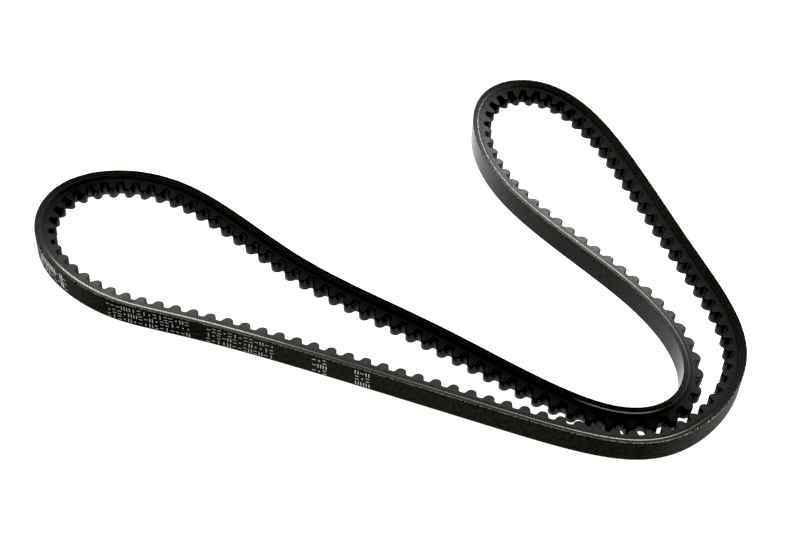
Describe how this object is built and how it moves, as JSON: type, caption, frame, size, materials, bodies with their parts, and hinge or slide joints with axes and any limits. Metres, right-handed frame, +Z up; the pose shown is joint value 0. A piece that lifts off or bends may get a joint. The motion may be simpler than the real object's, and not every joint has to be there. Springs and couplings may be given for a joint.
{
  "type": "v belt",
  "caption": "Endless raw-edge cogged V belt standing on its edge, bent into two lobes; wedge section with moulded cogs round its inner side.",
  "frame": {"origin": "centre of the belt's box, on the surface that the lower edge of the back stands on", "axes": "+X along the longer lobe-to-lobe direction, +Z up, across the belt's width, +Y away from the long front strand"},
  "size_m": [0.3286, 0.222, 0.0127],
  "materials": {
    "back_fabric": "rubberised woven fabric, near black, dull sheen, fine diagonal weave under a rubber skin",
    "body_rubber": "fibre-loaded black rubber with ground raw edges, matt, fine grain",
    "cord": "twisted polyester cord, off white, cut through where it meets a flank",
    "cog_fabric": "thin rubberised fabric moulded over the cogs, black, matt"
  },
  "bodies": {
    "root": {"back_fabric_outer": "back_fabric", "back_fabric_inner": "back_fabric", "overcord_rubber": "body_rubber", "tensile_cord": "cord", "undercord_cushion": "body_rubber", "cogged_rubber": "body_rubber", "cog_facing": "cog_fabric"}
  },
  "joints": []
}
